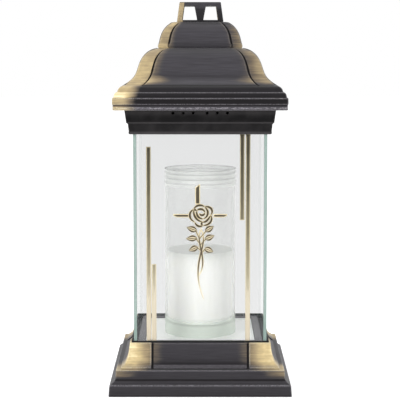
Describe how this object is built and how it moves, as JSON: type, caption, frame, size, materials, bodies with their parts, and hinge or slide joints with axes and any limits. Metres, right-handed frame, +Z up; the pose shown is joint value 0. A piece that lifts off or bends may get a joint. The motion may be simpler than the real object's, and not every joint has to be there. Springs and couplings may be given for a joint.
{
  "type": "grave lantern",
  "caption": "Square glass grave lantern with stepped plinth, collar, lift-off tiered lid with vented crown, cross and rose ornament, and a loose candle insert.",
  "frame": {"origin": "bottom centre of the plinth, on the surface it stands on", "axes": "+Z up, -Y towards the ornamented front pane, +X to the right of the front"},
  "size_m": [0.164, 0.164, 0.352],
  "materials": {
    "plinth_plastic": "dark plastic, brushed with antique gold on the corner blocks",
    "lid_plastic": "dark plastic, brushed with antique gold on the corner bands",
    "collar_plastic": "plain near-black plastic",
    "clear_glass": "clear float glass with a pale green edge",
    "gold_relief": "raised gold paste with pale edges",
    "tray_sheet": "pale satin sheet",
    "shield_sheet": "bare sheet",
    "steel": "zinc plated",
    "gasket_rubber": "black",
    "silicone": "clear sealing compound",
    "cup_plastic": "frosted translucent plastic",
    "wax": "white wax",
    "cotton": "plain"
  },
  "bodies": {
    "lantern_body": {"base_plinth": "plinth_plastic", "floor_tray": "tray_sheet", "glass_gasket": "gasket_rubber", "pane_front": "clear_glass", "pane_right": "clear_glass", "pane_back": "clear_glass", "pane_left": "clear_glass", "stripe_left_long": "gold_relief", "stripe_left_short": "gold_relief", "stripe_right_long": "gold_relief", "stripe_right_short": "gold_relief", "cross_post": "gold_relief", "cross_arm_left": "gold_relief", "cross_arm_right": "gold_relief", "rose_bloom": "gold_relief", "rose_spray": "gold_relief", "collar": "collar_plastic", "collar_seal": "silicone"},
    "lid": {"roof_lower": "lid_plastic", "roof_upper": "lid_plastic", "crown": "lid_plastic", "heat_shield": "shield_sheet", "shield_screw_1": "steel", "shield_screw_2": "steel", "shield_screw_3": "steel", "shield_screw_4": "steel"},
    "candle_insert": {"insert_cup": "cup_plastic", "wax": "wax", "wick_foot": "steel", "wick": "cotton"}
  },
  "joints": [
    {"name": "lid_lift", "type": "slide", "parent": "lantern_body", "child": "lid", "axis": [0, 0, 1], "range_m": [0, 0.14]},
    {"name": "insert_lift", "type": "slide", "parent": "lantern_body", "child": "candle_insert", "axis": [0, 0, 1], "range_m": [0, 0.06]}
  ]
}
